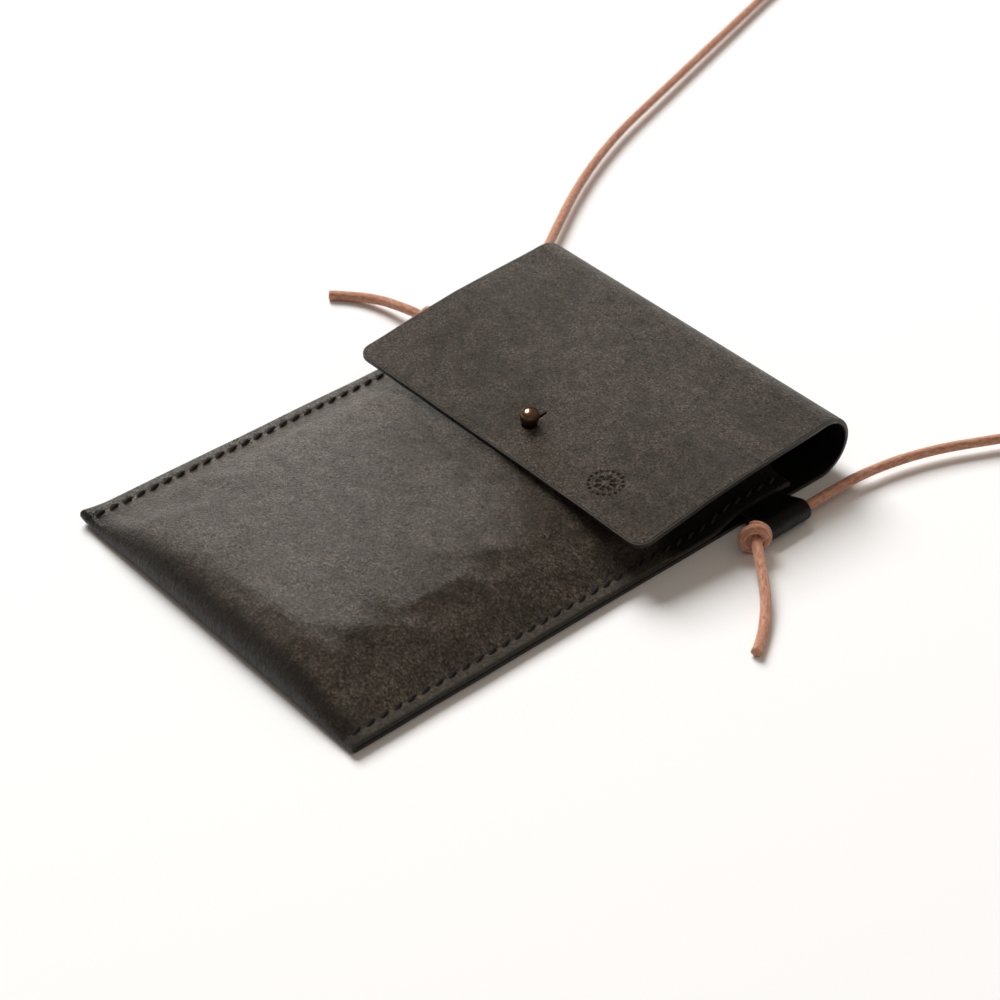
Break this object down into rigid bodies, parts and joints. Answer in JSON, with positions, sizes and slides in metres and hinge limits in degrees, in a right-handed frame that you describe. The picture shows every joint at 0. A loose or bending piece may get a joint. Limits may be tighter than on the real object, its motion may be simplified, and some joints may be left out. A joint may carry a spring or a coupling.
{
  "type": "neck pouch wallet",
  "caption": "Flat folded-leather pouch worn on a neck cord: side seams are saddle stitched, a flap closes over a ball stud, and the cord is knotted behind two side loops.",
  "frame": {"origin": "middle of the back panel's flat outer face, which is the face the pouch rests on", "axes": "+X across the pouch to its right side seen from the front, +Y from the bottom fold to the flap fold, +Z out of the front"},
  "size_m": [0.288, 0.515, 0.0182],
  "materials": {
    "pouch_leather": "dark waxed vegetable-tanned leather, satin, faint grain and marks",
    "loop_leather": "near-black leather strip, burnished edges",
    "cord_leather": "natural tan leather lace, matt and fibrous",
    "thread": "black waxed linen thread",
    "stud_metal": "antique copper-brown, polished on top"
  },
  "bodies": {
    "pouch": {"pouch_body": "pouch_leather", "left_side_stitching": "thread", "right_side_stitching": "thread", "left_cord_loop": "loop_leather", "right_cord_loop": "loop_leather", "stud_head": "stud_metal", "stud_screw": "stud_metal"},
    "flap_fold_1": {"flap_fold_1": "pouch_leather"},
    "flap_fold_2": {"flap_fold_2": "pouch_leather"},
    "flap_fold_3": {"flap_fold_3": "pouch_leather"},
    "flap_fold_4": {"flap_fold_4": "pouch_leather"},
    "flap_fold_5": {"flap_fold_5": "pouch_leather"},
    "flap_panel": {"flap_panel": "pouch_leather"},
    "cord_ends": {"left_knot": "cord_leather", "right_knot": "cord_leather", "left_cord_run": "cord_leather", "right_cord_run": "cord_leather"},
    "left_tail": {"left_tail": "cord_leather"},
    "right_tail": {"right_tail": "cord_leather"},
    "strap_lower": {"left_lower_strap": "cord_leather", "right_lower_strap": "cord_leather"},
    "strap_middle": {"left_middle_strap": "cord_leather", "right_middle_strap": "cord_leather"},
    "neck_strap": {"neck_strap": "cord_leather"}
  },
  "joints": [
    {"name": "flap_open", "type": "hinge", "parent": "pouch", "child": "flap_fold_1", "pos_m": [0, 0.07385, 0.00075], "axis": [-1, 0, 0], "range_deg": [0, 30.83]},
    {"name": "flap_bend_2", "type": "hinge", "parent": "flap_fold_1", "child": "flap_fold_2", "pos_m": [0, 0.07771, 0.00305], "axis": [-1, 0, 0], "range_deg": [0, 30.83]},
    {"name": "flap_bend_3", "type": "hinge", "parent": "flap_fold_2", "child": "flap_fold_3", "pos_m": [0, 0.07984, 0.00701], "axis": [-1, 0, 0], "range_deg": [0, 30.83]},
    {"name": "flap_bend_4", "type": "hinge", "parent": "flap_fold_3", "child": "flap_fold_4", "pos_m": [0, 0.07964, 0.0115], "axis": [-1, 0, 0], "range_deg": [0, 30.83]},
    {"name": "flap_bend_5", "type": "hinge", "parent": "flap_fold_4", "child": "flap_fold_5", "pos_m": [0, 0.07717, 0.01526], "axis": [-1, 0, 0], "range_deg": [0, 30.83]},
    {"name": "flap_bend_6", "type": "hinge", "parent": "flap_fold_5", "child": "flap_panel", "pos_m": [0, 0.07313, 0.01722], "axis": [-1, 0, 0], "range_deg": [0, 30.83]},
    {"name": "cord_slide", "type": "slide", "parent": "pouch", "child": "cord_ends", "axis": [0, 1, 0], "range_m": [-0.006, 0]},
    {"name": "left_tail_swing", "type": "hinge", "parent": "cord_ends", "child": "left_tail", "pos_m": [-0.06732, 0.03695, 0.0043], "axis": [0, 0, 1], "range_deg": [-20, 20]},
    {"name": "right_tail_swing", "type": "hinge", "parent": "cord_ends", "child": "right_tail", "pos_m": [0.06624, 0.03439, 0.0043], "axis": [0, 0, 1], "range_deg": [-20, 20]},
    {"name": "strap_lift", "type": "hinge", "parent": "cord_ends", "child": "strap_lower", "pos_m": [0, 0.0635, 0.00295], "axis": [1, 0, 0], "range_deg": [0, 44]},
    {"name": "strap_middle_bend", "type": "hinge", "parent": "strap_lower", "child": "strap_middle", "pos_m": [0, 0.1815, 0.00241], "axis": [1, 0, 0], "range_deg": [0, 22]},
    {"name": "neck_bend", "type": "hinge", "parent": "strap_middle", "child": "neck_strap", "pos_m": [0, 0.29106, 0.00191], "axis": [1, 0, 0], "range_deg": [0, 22]}
  ],
  "couplings": [
    {"joint": "flap_bend_2", "follows": "flap_open", "ratio": 1},
    {"joint": "flap_bend_3", "follows": "flap_open", "ratio": 1},
    {"joint": "flap_bend_4", "follows": "flap_open", "ratio": 1},
    {"joint": "flap_bend_5", "follows": "flap_open", "ratio": 1},
    {"joint": "flap_bend_6", "follows": "flap_open", "ratio": 1},
    {"joint": "strap_middle_bend", "follows": "strap_lift", "ratio": 0.5},
    {"joint": "neck_bend", "follows": "strap_lift", "ratio": 0.5}
  ]
}
